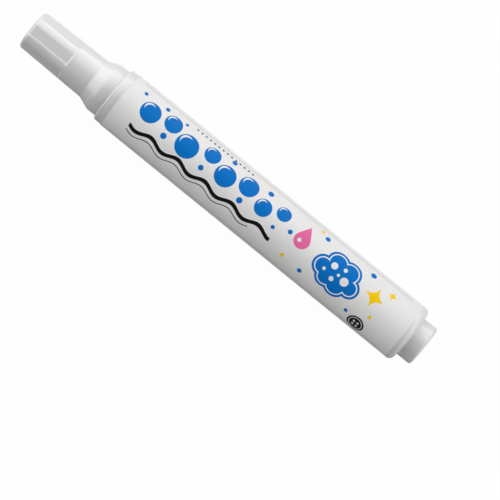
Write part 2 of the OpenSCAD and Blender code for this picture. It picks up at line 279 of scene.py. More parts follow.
# %% The net and finish classes
class Net:
    """A node tree being built; its first field is the place of the point that is shaded."""

    def __init__(self, tree, coordinates):
        self.tree = tree
        self.place = self.node("TexCoord", {}, {}, coordinates)

    def feed(self, socket, value):
        """Links a field to a socket, or sets a plain value on it."""
        if isinstance(value, Field):
            self.tree.links.new(value.socket, socket)
        elif isinstance(value, tuple) and len(value) == 3 and socket.type == "RGBA":
            socket.default_value = (*value, 1.0)
        else:
            socket.default_value = value

    def node(self, kind, settings, inputs, output=0):
        """A node of a kind, with its settings set first, then its sockets; returns one of its outputs."""
        made = self.tree.nodes.new("ShaderNode" + kind)
        for name, value in settings.items():
            setattr(made, name, value)
        for name, value in inputs.items():
            self.feed(made.inputs[name], value)
        return Field(self, made.outputs[output])

    def mix(self, share, first, second):
        """The first colour where share is 0 and the second where it is 1."""
        return self.node("Mix", {"data_type": "RGBA"}, {0: share, 6: first, 7: second}, 2)

    def noise(self, size_mm, detail, stretch=(1, 1, 1)):
        """Cloudy noise from 0 to 1: marks of about size_mm, finer ones by detail, drawn out by stretch."""
        spread = tuple(1 / (size_mm * MM * s) for s in stretch)
        scaled = self.node("VectorMath", {"operation": "MULTIPLY"}, {0: self.place, 1: spread})
        return self.node("TexNoise", {}, {"Vector": scaled, "Scale": 1.0, "Detail": detail}, "Fac")


class Finish(Net):
    """A material being built: its net and the shader at its end."""

    def __init__(self, name, **constants):
        self.material = bpy.data.materials.new(name)
        self.material.use_nodes = True
        super().__init__(self.material.node_tree, "Object")
        self.shader = self.tree.nodes["Principled BSDF"]
        for socket, value in constants.items():
            self.set(socket.replace("_", " "), value)

    def set(self, socket, value):
        """Feeds one socket of the shader."""
        self.feed(self.shader.inputs[socket], value)

    def relief(self, height, depth_mm):
        """Bumps the surface by a height from 0 to 1 that stands depth_mm tall."""
        settings = {"Height": height, "Distance": depth_mm * MM, "Strength": 1.0}
        self.set("Normal", self.node("Bump", {}, settings, "Normal"))


print("a", Finish.__name__, "is a", Finish.__bases__[0].__name__, "with a shader at its end")

# %% [markdown]
# ## Moulded plastic
# The barrel, the nose and the cap are white plastic from polished moulds. It is nearly one colour, with
# faint clouds where the melt flowed, a few specks, a soft ripple that bends the highlights, and fine
# handling marks that show only in the gloss. A picture could hold such marks, but it would have to be
# unwrapped onto each piece, and noise in the piece's own coordinates needs no unwrapping. A thin satin
# coat gives the broad sheen of the lit side. One function makes all five plastics. The three white ones
# are alike, and stay apart because the record names a finish for each.

# %% Plastic finishes
WHITE, WHITE_CLOUD, WHITE_ROUGHNESS = (0.725, 0.725, 0.725), (0.69, 0.69, 0.695), 0.40
SATIN = {"IOR": 1.65, "Specular_IOR_Level": 0.9, "Coat_Weight": 0.6, "Coat_Roughness": 0.3}
FLOW_MM, SPECK_MM, RUB_MM, WAVE_MM, GRAIN_MM = 9, 0.35, 2.2, 1.6, 0.25
FLOW_STRETCH, RUB_STRETCH = (4, 1, 1), (6, 1, 1)
CLOUD_SHARE, SPECK_SHARE, GRAIN_SHARE = 0.9, 0.25, 0.15
SPECK_LEVEL, SPECK_SHARPNESS = 0.7, 6
RUB_LEVEL, RUB_STRENGTH, RIPPLE_MM = 0.45, 0.18, 0.004


def moulded(name, light, cloud, roughness, **constants):
    """Plastic with flow clouds between two tints, rubbed about one roughness, and with a soft ripple."""
    finish = Finish(name, **constants)
    clouds = finish.noise(FLOW_MM, 2.0, FLOW_STRETCH)
    specks = ((finish.noise(SPECK_MM, 1.0) - SPECK_LEVEL) * SPECK_SHARPNESS).clamp()
    shade = (clouds * CLOUD_SHARE + specks * SPECK_SHARE).clamp()
    finish.set("Base Color", finish.mix(shade, light, cloud))
    rubbed = (finish.noise(RUB_MM, 4.0, RUB_STRETCH) - RUB_LEVEL) * RUB_STRENGTH
    finish.set("Roughness", (roughness + rubbed).clamp())
    finish.relief(finish.noise(WAVE_MM, 2.0) + finish.noise(GRAIN_MM, 1.0) * GRAIN_SHARE, RIPPLE_MM)
    return finish.material


barrel_plastic = moulded("barrel_plastic", WHITE, WHITE_CLOUD, WHITE_ROUGHNESS, **SATIN)
nose_plastic = moulded("nose_plastic", WHITE, WHITE_CLOUD, WHITE_ROUGHNESS, **SATIN)
cap_plastic = moulded("cap_plastic", WHITE, WHITE_CLOUD, WHITE_ROUGHNESS, **SATIN)
sleeve_plastic = moulded("sleeve_plastic", (0.74, 0.76, 0.76), (0.68, 0.70, 0.71), 0.42)
valve_plastic = moulded("valve_plastic", (0.66, 0.70, 0.74), (0.60, 0.64, 0.68), 0.38)
print("each plastic has", len(cap_plastic.node_tree.nodes), "nodes")

# %% [markdown] ## Hollow pieces and their places A Solidify modifier could give a surface its thickness,
# but the same everywhere, and a moulded wall changes its thickness at a shoulder or a seat. So a hollow
# piece gets two profiles, one outside and one inside.

# %% Wall and dress
def wall(name, outside, inside, segments, reshape=None):
    """A piece closed at one end: outside runs from the rim to the axis, inside from the axis to the rim."""
    return lathe(name, outside[::-1] + inside[::-1], segments, reshape)


def dress(piece, body, slot, material, *nodes):
    """Gives a piece its material, hangs it on its body and lets it stand for its CAD nodes."""
    piece.data.materials.append(material)
    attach(piece, body)
    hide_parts(*nodes)


print("solids of the frame:", ", ".join(sorted(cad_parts)))

# %% [markdown]
# ## The barrel
# The barrel is one thin tube with a shallow recess for the film, a round shoulder and a narrower stub
# that the cap can be parked on. In the middle of the stub's end is the small round mark of the gate,
# where the melt came in. It could be joined from a tube and an end by a boolean, but the joint would
# need cleaning up. It is turned from one closed profile instead, outside first and then back along the
# bore.

# %% Barrel
LABEL_FROM, LABEL_TO, LABEL_DEEP = 31.6, 133.2, 0.13
SHOULDER, SHOULDER_ROUND, STUB_R, TAIL = 135.2, 1.65, 6.2, 140.0
BORE_R, STUB_BORE_R, BORE_END, END_WALL = 7.55, 5.0, 133.55, 1.4
GATE_R, GATE_DEEP, GATE_STEP, DISH_R, DISH_FLOOR_R = 0.8, 0.12, 0.04, 1.8, 1.6
CHAMFER = 0.1

barrel_path = rounded([
    (barrel_front, BORE_R + CHAMFER), (barrel_front, BARREL_R, 0.08), (LABEL_FROM, BARREL_R, 0.03),
    (LABEL_FROM, BARREL_R - LABEL_DEEP), (LABEL_TO, BARREL_R - LABEL_DEEP), (LABEL_TO, BARREL_R, 0.03),
    (SHOULDER, BARREL_R, SHOULDER_ROUND), (SHOULDER, STUB_R, 0.22), (TAIL, STUB_R, 0.8),
    (TAIL, DISH_R, 0.1), (TAIL - GATE_DEEP, DISH_FLOOR_R, 0.08), (TAIL - GATE_DEEP, GATE_R, 0.05),
    (TAIL - GATE_STEP, GATE_R - CHAMFER, 0.05), (TAIL - GATE_STEP, 0),
    (TAIL - END_WALL, 0), (TAIL - END_WALL, STUB_BORE_R, 0.5), (BORE_END, STUB_BORE_R, 0.3),
    (BORE_END, BORE_R, 0.5), (barrel_front + CHAMFER, BORE_R)])
poles = [i for i, point in enumerate(barrel_path) if point[1] < ON_AXIS]
outside, inside = barrel_path[:poles[0] + 1], barrel_path[poles[1]:]
barrel = wall("barrel_body", outside, inside, FINE)
dress(barrel, "pen", "barrel_plastic", barrel_plastic, "barrel")
print("the wall is", round(BARREL_R - LABEL_DEEP - BORE_R, 2), "mm thick under the film")

# %% [markdown]
# ## The cap
# The cap is a gentle cone with six grip flats, a soft flare and a straight skirt. The flats blend into
# the round by an arc, and each has a shallow thumb dip whose deep side is a thin ledge. Carving them
# with booleans would leave sharp edges, so the lathe is used instead: a function gives how far the wall
# is pushed in at each station and turn, and rows of points are packed closely where the flats end.

# %% How deep a grip flat is
CAP_TIP_R, CAP_WAIST_R, CAP_WAIST_AT = 5.95, 6.3, 22.15
CAP_SLOPE = (CAP_WAIST_R - CAP_TIP_R) / CAP_WAIST_AT
FLATS, FLAT_TURN, FLAT_HALF = 6, math.radians(3.5), 1.53
FLAT_HEIGHT, FLAT_SLOPE = 5.65, 0.00866
FLAT_END_FROM, FLAT_END_TO = 13.8, 14.35
DIP, DIP_FROM, DIP_RUN = 0.10, -1.5, 2.7
LEDGE_FROM, LEDGE_TO = 1.15, 1.65


def share_of(value, start, run):
    """How much of a run that begins at start a value has covered, from 0 to 1."""
    return min(1.0, max(0.0, (value - start) / run))


def ramp(value, start, end):
    """Rises smoothly from 0 at start to 1 at end."""
    share = share_of(value, start, end - start)
    return share * share * (3 - 2 * share)


def grip_depth(t, turn):
    """How far the cap's wall is pushed in at a station and turn, in millimetres."""
    round_r = CAP_TIP_R + CAP_SLOPE * t
    height = FLAT_HEIGHT + FLAT_SLOPE * t
    pitch = 2 * math.pi / FLATS
    off = (turn - FLAT_TURN + pitch / 2) % pitch - pitch / 2
    blend_r = (round_r ** 2 - height ** 2 - FLAT_HALF ** 2) / (2 * (round_r - height))
    lean = abs(off)
    if lean <= math.atan2(FLAT_HALF, height):
        wall_r = height / math.cos(lean)
    elif lean < math.atan2(FLAT_HALF, height - blend_r):
        along = (height - blend_r) * math.cos(lean) + FLAT_HALF * math.sin(lean)
        reach = (height - blend_r) ** 2 + FLAT_HALF ** 2 - blend_r ** 2
        wall_r = along + math.sqrt(max(0.0, along ** 2 - reach))
    else:
        wall_r = round_r
    across = height * math.tan(off)
    dip = DIP * share_of(across, DIP_FROM, DIP_RUN) * (1 - ramp(across, LEDGE_FROM, LEDGE_TO))
    return (round_r - wall_r + dip) * (1 - share_of(t, FLAT_END_FROM, FLAT_END_TO - FLAT_END_FROM))


print("a flat is", round(grip_depth(7, FLAT_TURN), 3), "mm deep half way along")

# %% [markdown]
# ## Rows where the shape needs them
# A lathe can only push in the points that it has, and a straight line of a profile has none between its
# ends. Subdividing the mesh would add points everywhere. This helper adds them to the profile alone, at
# the stations that are asked for.

# %% Extra stations
CLOSEST = 0.01


def with_stations(path, stations):
    """The same path with extra points at the given stations, wherever it runs from -X to +X across them."""
    fuller = [path[0]]
    for (t0, r0), (t1, r1) in zip(path, path[1:]):
        for t in sorted(stations):
            if t0 + CLOSEST < t < t1 - CLOSEST:
                fuller.append((t, r0 + (r1 - r0) * (t - t0) / (t1 - t0)))
        fuller.append((t1, r1))
    return fuller


print("a line with two more stations:", with_stations([(0, 5), (9, 5)], [3, 6]))

# %% [markdown]
# ## Turning the cap
# The flats could be pressed into a turned cap afterwards, but the lathe can push each point as it makes
# it. The push covers the side and the closed end, where it fades out towards the middle, so that the end
# keeps its round gate mark. The bore stays round, because the seal needs it.

# %% Cap
CAP_RIM, CAP_BORE_R, CAP_SEAT_R, CAP_FLOOR = 28.76, 5.1, 6.24, 1.0
SKIRT_R, SKIRT_FROM, FLARE_ROUND, WAIST_ROUND = 7.7, 25.7, 3.2, 2.0
END_ROUND, END_FACE_R, OUTSIDE_R = 1.05, 4.9, 5.3
CAP_GATE_R, CAP_GATE_FLOOR_R, CAP_GATE_DEEP = 2.0, 1.8, 0.1
LEAD_FROM, LEAD_TO, RIM_CHAMFER, RIM_STEP = 21.15, 24.75, 0.25, 0.02


def cap_shape(t, r, turn):
    """Pushes in the cap's outside, and leaves its bore round."""
    in_bore = r < OUTSIDE_R and t > CAP_FLOOR - CLOSEST
    if t > FLAT_END_TO or in_bore:
        return r
    return r - grip_depth(t, turn) * min(1, r / END_FACE_R) ** 2


cap_outside = rounded([
    (CAP_RIM, CAP_SEAT_R + RIM_CHAMFER), (CAP_RIM, SKIRT_R, 0.05), (SKIRT_FROM, SKIRT_R, FLARE_ROUND),
    (CAP_WAIST_AT, CAP_WAIST_R, WAIST_ROUND), (0, CAP_TIP_R, END_ROUND), (0, CAP_GATE_R, 0.1),
    (CAP_GATE_DEEP, CAP_GATE_FLOOR_R, 0.1), (CAP_GATE_DEEP, 0)])
grip_rows = [0.5 * i for i in range(2, 27)]
end_rows = [13.5 + 0.05 * i for i in range(20)]
cap_outside = with_stations(cap_outside[::-1], grip_rows + end_rows)[::-1]
cap_inside = rounded([
    (CAP_FLOOR, 0), (CAP_FLOOR, CAP_BORE_R, 0.4), (LEAD_FROM, CAP_BORE_R, 0.5), (LEAD_TO, CAP_SEAT_R, 0.5),
    (CAP_RIM - RIM_CHAMFER, CAP_SEAT_R, 0.05)])
cap_inside.append((CAP_RIM - RIM_STEP, CAP_SEAT_R + RIM_CHAMFER - RIM_STEP))
cap = wall("pull_off_cap", cap_outside, cap_inside, FINEST, cap_shape)
dress(cap, "cap", "cap_plastic", cap_plastic, "cap_shell")
print("the cap has", len(cap_outside), "rings outside and", len(cap_inside), "inside")

# %% [markdown]
# ## The cap's inner thimble
# Inside the cap sits a thin thimble of a softer plastic. It closes round the flange in front of the
# nose, so that the nib doesn't dry out. It could be left as a part of the cap's wall, but it is a
# plastic of its own and shows as a ring when the cap is off, so it is a turned wall of its own.

# %% Cap sleeve
SLEEVE_RIM, SLEEVE_R, SLEEVE_BORE_R, SLEEVE_FLOOR, SLEEVE_GAP = 17.0, 5.06, 4.35, 1.62, 0.02
sleeve_outside = rounded([
    (SLEEVE_RIM, SLEEVE_BORE_R + CHAMFER), (SLEEVE_RIM, SLEEVE_R, 0.12),
    (CAP_FLOOR + SLEEVE_GAP, SLEEVE_R, 0.35), (CAP_FLOOR + SLEEVE_GAP, 0)])
sleeve_inside = rounded([
    (SLEEVE_FLOOR, 0), (SLEEVE_FLOOR, SLEEVE_BORE_R, 0.35), (SLEEVE_RIM - CHAMFER, SLEEVE_BORE_R)])
sleeve = wall("cap_thimble", sleeve_outside, sleeve_inside, COARSE)
dress(sleeve, "cap", "sleeve_plastic", sleeve_plastic, "cap_sleeve")
print("the thimble is", round(SLEEVE_R - SLEEVE_BORE_R, 2), "mm thick")

# %% [markdown]
# ## Ribs of the nose
# The nose closes the front of the barrel, and its cone has four low ribs. They could be boxes pushed
# into the cone, but then they would meet it at a sharp line. They are raised in the lathe's rings
# instead, so they melt into the cone as moulded ribs do.

# %% Ribs of the nose
NOSE_FRONT, CONE_FROM, SEAT_FROM, SEAT_TO, COLLAR_TO = 15.6, 22.75, 26.1, 28.8, 31.3
RIBS, RIB_FRONT = 4, 21.75
CREST_FRONT, CREST_CONE, CREST_SEAT = 4.38, 5.0, 6.08
RIB_HALF, RIB_FOOT, RIB_LOW_R, RIB_HIGH_R = 0.30, 0.42, 4.2, 6.1
CONE_R, CONE_END_R = 4.45, 5.96


def rib_shape(t, r, turn):
    """Raises four ribs on the cone, at 45 degrees to the label's front."""
    if not RIB_FRONT < t <= SEAT_FROM or not RIB_LOW_R <= r <= RIB_HIGH_R:
        return r
    if t < CONE_FROM:
        crest = CREST_FRONT + (CREST_CONE - CREST_FRONT) * (t - RIB_FRONT) / (CONE_FROM - RIB_FRONT)
    else:
        crest = CREST_CONE + (CREST_SEAT - CREST_CONE) * (t - CONE_FROM) / (SEAT_FROM - CONE_FROM)
    pitch = 2 * math.pi / RIBS
    off = abs(turn % pitch - pitch / 2)
    return r + max(0.0, crest - r) * (1 - ramp(off * r, RIB_HALF, RIB_FOOT))


rib_rise = rib_shape(CONE_FROM, CONE_R, math.pi / RIBS) - CONE_R
print("a rib stands", round(rib_rise, 2), "mm above the start of the cone")

# %% [markdown]
# ## Turning the nose
# From the front the nose has a neck, the ribbed cone, the seat that the cap grips and a collar. Its
# skirt goes into the barrel, where a snap bead holds it and a rubber ring in a groove seals it. It could
# be built of several tubes, but the real one is a single moulding, so it is one closed profile, with
# rows close together where the ribs rise.

# %% Nose housing
NECK_R, NECK_BORE_R, SEAT_R, COLLAR_R, COLLAR_ROUND = 4.15, 3.6, 6.2, 8.55, 0.55
NOSE_SKIRT_R, NOSE_SKIRT_END, NOSE_SKIRT_BORE_R = 7.51, 40.0, 6.01
BEAD_R, BEAD_FROM, BEAD_TO, BEAD_RUN = 7.64, 33.0, 33.2, 0.35
GROOVE_R, GROOVE_FROM, GROOVE_TO = 6.75, 35.35, 36.45
SHELF_AT, THROAT_R, GUIDE_R = 31.6, 5.2, 2.4
front = [
    (NOSE_FRONT, NECK_BORE_R + CHAMFER), (NOSE_FRONT, NECK_R, 0.1), (CONE_FROM, CONE_R, 0.5),
    (SEAT_FROM, CONE_END_R, 0.04), (SEAT_FROM, SEAT_R, 0.1), (SEAT_TO, SEAT_R, 0.12),
    (SEAT_TO, COLLAR_R, COLLAR_ROUND), (COLLAR_TO, COLLAR_R, 0.08), (COLLAR_TO, NOSE_SKIRT_R, 0.05)]
bead = [
    (BEAD_FROM - BEAD_RUN, NOSE_SKIRT_R), (BEAD_FROM, BEAD_R, 0.1), (BEAD_TO, BEAD_R, 0.1),
    (BEAD_TO + BEAD_RUN, NOSE_SKIRT_R)]
groove = [
    (GROOVE_FROM, NOSE_SKIRT_R, 0.04), (GROOVE_FROM, GROOVE_R, 0.1), (GROOVE_TO, GROOVE_R, 0.1),
    (GROOVE_TO, NOSE_SKIRT_R, 0.04)]
back_inside = [
    (NOSE_SKIRT_END, NOSE_SKIRT_R, 0.3), (NOSE_SKIRT_END, NOSE_SKIRT_BORE_R, 0.1),
    (SHELF_AT, NOSE_SKIRT_BORE_R, 0.1), (SHELF_AT, THROAT_R, 0.05), (SEAT_FROM, THROAT_R, 0.1),
    (SEAT_FROM, GUIDE_R, 0.1), (CONE_FROM, GUIDE_R, 0.05), (CONE_FROM, NECK_BORE_R, 0.1),
    (NOSE_FRONT + CHAMFER, NECK_BORE_R)]
rib_rows = [RIB_FRONT - 0.05 + 0.1 * i for i in range(44)]
nose_path = with_stations(rounded(front + bead + groove + back_inside), rib_rows)
nose = lathe("nose", nose_path, FINEST, rib_shape, loop=True)
dress(nose, "pen", "nose_plastic", nose_plastic, "nose_housing")
print("the nose is turned from", len(nose_path), "rings")

# %% [markdown]
# ## Rounded box outlines
# The nib is a block, not a round, and the pocket of its holder has the nib's outline. Both use one
# rounded box outline, in two forms: the nib needs it as a ring of points, and the holder as a radius
# that changes with the turn, because the holder is round everywhere else.

# %% Rounded box outlines
PER_SIDE, PER_CORNER, TINY = 8, 6, 1e-9


def box_ring(t, half_y, half_z, corner):
    """A ring at a station: a box outline with rounded corners, points in order about the axis."""
    points = []
    for quarter, (sign_y, sign_z) in enumerate(((1, 1), (-1, 1), (-1, -1), (1, -1))):
        for step in range(PER_CORNER + 1):
            turn = (quarter + step / PER_CORNER) * math.pi / 2
            y = (half_y - corner) * sign_y + corner * math.cos(turn)
            z = (half_z - corner) * sign_z + corner * math.sin(turn)
            points.append((y, z))
        end = points[-1]
        if quarter % 2:
            side = (0, -2 * (half_z - corner) * sign_z)
        else:
            side = (-2 * (half_y - corner) * sign_y, 0)
        for i in range(1, PER_SIDE):
            points.append((end[0] + side[0] * i / PER_SIDE, end[1] + side[1] * i / PER_SIDE))
    return [((t - HALF_LENGTH) * MM, y * MM, (BARREL_R + z) * MM) for y, z in points]


def box_radius(turn, half_y, half_z, corner):
    """The distance from the axis to a rounded box outline, at a turn."""
    dy, dz = abs(math.sin(turn)), abs(math.cos(turn))
    if dz > TINY and half_z * dy / dz <= half_y - corner:
        return half_z / dz
    if dy > TINY and half_y * dz / dy <= half_z - corner:
        return half_y / dy
    cy, cz = half_y - corner, half_z - corner
    along = cy * dy + cz * dz
    return along + math.sqrt(along ** 2 - cy ** 2 - cz ** 2 + corner ** 2)


NIB_HALF_Y, NIB_HALF_Z, NIB_CORNER = 2.9, 2.2, 1.2
corner_turn = math.atan2(NIB_HALF_Y, NIB_HALF_Z)
corner_r = box_radius(corner_turn, NIB_HALF_Y, NIB_HALF_Z, NIB_CORNER)
print("the nib's corners are", round(corner_r, 2), "mm from the axis")

# %% [markdown]
# ## The nib's holder
# A flanged bush is pressed into the neck. Its pocket keeps the flat nib from turning and leaves it free
# to slide back when it is pressed. A boolean could cut the pocket, but it would leave long thin faces.
# The bush is turned like the rest, and only its pocket's radius follows the box outline.

# %% Nib holder
FLANGE_R, FLANGE_FRONT, BUSH_R, BUSH_END = 4.3, 14.3, 3.58, 19.9
POCKET_R, POCKET_END, POCKET_GAP, SHANK_BORE_R = 2.5, 18.8, 0.04, 1.65
POCKET_LOW_R, POCKET_HIGH_R, POCKET_CHAMFER = 2.4, 2.9, 0.12


def bush_shape(t, r, turn):
    """Gives the pocket the nib's outline, and leaves the rest round."""
    if not POCKET_LOW_R < r < POCKET_HIGH_R:
        return r
    outline = box_radius(turn, NIB_HALF_Y + POCKET_GAP, NIB_HALF_Z + POCKET_GAP, NIB_CORNER)
    return outline + r - POCKET_R


bush_path = rounded([
    (FLANGE_FRONT, POCKET_R + POCKET_CHAMFER), (FLANGE_FRONT, FLANGE_R, 0.35),
    (NOSE_FRONT, FLANGE_R, 0.12), (NOSE_FRONT, BUSH_R, 0.03), (BUSH_END, BUSH_R, 0.2),
    (BUSH_END, SHANK_BORE_R, 0.1), (POCKET_END, SHANK_BORE_R, 0.05), (POCKET_END, POCKET_R, 0.1),
    (FLANGE_FRONT + POCKET_CHAMFER, POCKET_R)])
bush = lathe("nib_holder", bush_path, FINE, bush_shape, loop=True)
dress(bush, "pen", "nose_plastic", nose_plastic, "nib_bush")
print("the pocket leaves", POCKET_GAP, "mm round the nib")

# %% [markdown]
# ## The nib
# The nib is a block of sintered white fibre, ground to two facets that meet in a thin edge, with a round
# shank behind that pushes the valve. A cube cut by two planes would have the shape but not the wear: the
# edge and the heels of the facets are rubbed soft by use. Here each ring of the block has its own width
# and height, so the softening is part of the formula.

# %% Shape of the nib
NIB_TIP, NIB_FACET, NIB_BACK, NIB_END = 5.8, 3.8, 17.1, 24.5
NIB_EDGE, SHANK_R, CORNER_SHARE = 0.25, 1.6, 0.8
TIP_ROUND, TIP_WORN, TIP_WORN_OVER = 0.6, 0.12, 0.15
HEEL_WORN, HEEL_OVER, BACK_ROUND = 0.1, 0.6, 0.3


def nib_ring(t):
    """The nib's outline at a station of its block."""
    rise = min(1.0, (t - NIB_TIP) / NIB_FACET)
    heel = max(0, 1 - abs(t - NIB_TIP - NIB_FACET) / HEEL_OVER)
    half_z = NIB_EDGE + (NIB_HALF_Z - NIB_EDGE) * rise - HEEL_WORN * heel ** 2
    start = max(0.0, 1 - (t - NIB_TIP) / TIP_ROUND)
    half_y = NIB_HALF_Y - TIP_ROUND * (1 - math.sqrt(1 - start ** 2))
    half_z -= TIP_WORN * max(0.0, 1 - (t - NIB_TIP) / TIP_WORN_OVER) ** 2
    back = max(0.0, 1 - (NIB_BACK - t) / BACK_ROUND)
    shrink = BACK_ROUND * (1 - math.sqrt(1 - back ** 2))
    return box_ring(t, half_y - shrink, half_z - shrink, min(NIB_CORNER, CORNER_SHARE * half_z))


print("half way up a facet there are", len(nib_ring(NIB_TIP + NIB_FACET / 2)), "points round the nib")

# %% [markdown]
# ## The block and its shank
# Behind the block the outline changes from a box to a circle. Joined carelessly, such rings give a
# twisted skin. So the circles get as many points as the box has, at the same angles. The rings lie
# closest together at the edge and at the back, where the block is worn or rounded.

# %% Nib
SHANK_FLARE, SHANK_STEPS = 0.2, ((0.06, 0.06), (0.2, 0))


def round_ring(t, r, like):
    """A circle at a station, with its points at the same angles as those of another ring."""
    turns = [math.atan2(-y, z - BARREL_R * MM) for _, y, z in like]
    return [place(t, r, turn) for turn in turns]


facet_rows = [NIB_TIP + NIB_FACET * i / 24 for i in range(29)]
edge_rows = [NIB_TIP + d for d in (0.02, 0.05, 0.1, 0.22, 0.4)]
back_rows = [10.6, 12.5, 14.5, 16.5] + [NIB_BACK - d for d in (0.3, 0.2, 0.1, 0.04, 0)]
nib_block = [nib_ring(t) for t in sorted(facet_rows + edge_rows + back_rows)]
shank = [(NIB_BACK, SHANK_R + SHANK_FLARE)] + [(NIB_BACK + d, SHANK_R + flare) for d, flare in SHANK_STEPS]
shank += [(NIB_END - d, SHANK_R - flare) for d, flare in reversed(SHANK_STEPS)]
shank.append((NIB_END, SHANK_R - SHANK_FLARE))
nib_rings = [[place(NIB_TIP, 0, 0)]] + nib_block + [round_ring(t, r, nib_block[-1]) for t, r in shank]
nib = skin("chisel_nib", nib_rings + [[place(NIB_END, 0, 0)]])

# %% [markdown]
# ## Finish of the nib
# Up close the nib is a mass of tiny beads with pores between them. They could be modelled, but there are
# thousands, and each is smaller than a pixel. Noise at the beads' size gives the mottled white, and
# Voronoi cells, which have a sharp middle each, give the pores in the gloss and in the relief.

# %% Nib finish
BEAD_MM, PORES_PER_M = 0.16, 5200.0
NIB_SHADE, NIB_LIGHT = (0.78, 0.78, 0.77), (0.88, 0.88, 0.875)
BEAD_CONTRAST, BEAD_LEVEL = 1.6, 0.4
NIB_ROUGHNESS, PORE_ROUGHNESS, PORE_DEPTH, NIB_RELIEF_MM = 0.55, 0.3, 0.6, 0.03
nib_finish = Finish("porous_nib", Specular_IOR_Level=0.3)
beads = nib_finish.noise(BEAD_MM, 2.0)
at = {"Vector": nib_finish.place, "Scale": PORES_PER_M}
pores = nib_finish.node("TexVoronoi", {"feature": "F1"}, at, "Distance")
mottling = (beads * BEAD_CONTRAST - BEAD_LEVEL).clamp()
nib_finish.set("Base Color", nib_finish.mix(mottling, NIB_SHADE, NIB_LIGHT))
nib_finish.set("Roughness", (NIB_ROUGHNESS + pores * PORE_ROUGHNESS).clamp())
nib_finish.relief(beads - pores * PORE_DEPTH, NIB_RELIEF_MM)
dress(nib, "tip", "porous_nib", nib_finish.material, "nib")
print("about", round(1000 / PORES_PER_M, 2), "mm from pore to pore")

# %% [markdown]
# ## The return spring
# The spring is one wire with closed end turns. It lies inside, so it is seen only in a section, but it
# is still a wire that follows a path. A curve with a round bevel could draw it. Rings along the path are
# used instead, because the skin function already closes their ends.

# %% Spring wire
SPRING_FROM, SPRING_TO, SPRING_R, WIRE_R = 28.52, 38.1, 2.3, 0.25
CURLS, PRESS = 6, 1.5
STEPS, WIRE_SIDES, WIRE_GAP = 24, 10, 0.01


def spring_rings():
    """Rings of points along the wire: a closed turn, the curls, and another closed turn."""
    closed = 2 * (WIRE_R + WIRE_GAP)
    first, last = SPRING_FROM + WIRE_R + WIRE_GAP, SPRING_TO - WIRE_R - WIRE_GAP
    pitch = (last - first - 2 * closed) / CURLS
    path = []
    for i in range((CURLS + 2) * STEPS + 1):
        turns = i / STEPS
        closed_turns = min(turns, 1) + max(turns - 1 - CURLS, 0)
        open_turns = min(max(turns - 1, 0), CURLS)
        t = first + closed * closed_turns + pitch * open_turns
        path.append(Vector(place(t, SPRING_R, 2 * math.pi * turns)))
    axis = Vector((0, 0, BARREL_R * MM))
    rings = []
    for i, point in enumerate(path):
        along = (path[min(i + 1, len(path) - 1)] - path[max(i - 1, 0)]).normalized()
        outward = (point - axis - Vector((point.x, 0, 0))).normalized()
        side = along.cross(outward).normalized()
        outward = side.cross(along)
        angles = [2 * math.pi * k / WIRE_SIDES for k in range(WIRE_SIDES)]
        arms = [outward * math.cos(angle) + side * math.sin(angle) for angle in angles]
        rings.append([tuple(point + arm * WIRE_R * MM) for arm in arms])
    return [[tuple(path[0])]] + rings + [[tuple(path[-1])]]


spring = skin("return_spring", spring_rings())

# %% [markdown] ## Steel Drawn wire is bright, with fine streaks left by the die.

# %% Spring
STREAK_MM, STREAK_STRETCH, STREAK_RELIEF_MM = 0.12, (1, 5, 5), 0.004
STEEL_ROUGHNESS, STREAK_ROUGHNESS = 0.22, 0.12
steel = Finish("spring_steel", Metallic=1.0)
drawn = steel.noise(STREAK_MM, 2.0, STREAK_STRETCH)
steel.set("Base Color", steel.mix(drawn, (0.60, 0.61, 0.63), (0.70, 0.71, 0.72)))
steel.set("Roughness", (STEEL_ROUGHNESS + drawn * STREAK_ROUGHNESS).clamp())
steel.relief(drawn, STREAK_RELIEF_MM)
dress(spring, "pen", "spring_steel", steel.material, "valve_spring")
place(SPRING_TO, 0, 0)
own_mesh(spring)

# %% [markdown]
# ## Foam
# Round the nib's shank sits a ring of open-celled foam. Its cells could be carved, but they are hidden
# and small. The distance to the edge of a Voronoi cell is small on the cell walls, so it tells where the
# foam stands up. The walls get the foam's pale colour, and the hollows between them are painted darker,
# as painted shade.

# %% Foam
CELLS_PER_M, HOLLOW_SHADE, WALL_HEIGHT, FOAM_RELIEF_MM = 2600.0, 6, 5, 0.08
FOAM_ROUGHNESS, CELL_GLOSS = 0.95, 0.2
foam = Finish("foam", Specular_IOR_Level=0.2)
at = {"Vector": foam.place, "Scale": CELLS_PER_M}
cells = foam.node("TexVoronoi", {"feature": "DISTANCE_TO_EDGE"}, at, "Distance")
# painted shade: the hollows of the cells are coloured darker than the walls
foam.set("Base Color", foam.mix((cells * HOLLOW_SHADE).clamp(), (0.84, 0.82, 0.78), (0.62, 0.60, 0.56)))
foam.set("Roughness", (FOAM_ROUGHNESS - cells * CELL_GLOSS).clamp())
foam.relief(1 - (cells * WALL_HEIGHT).clamp(), FOAM_RELIEF_MM)
print("about", round(1000 / CELLS_PER_M, 2), "mm to a foam cell")

# %% [markdown]
# ## Rubber and fluid
# Seal rubber is nearly black, with a faint pale bloom and a fine grain. The fluid is clear and watery.
# It could be a volume that thins the light, but so little of it shows that a surface with the refraction
# of water does, with faint streaks in its tint.

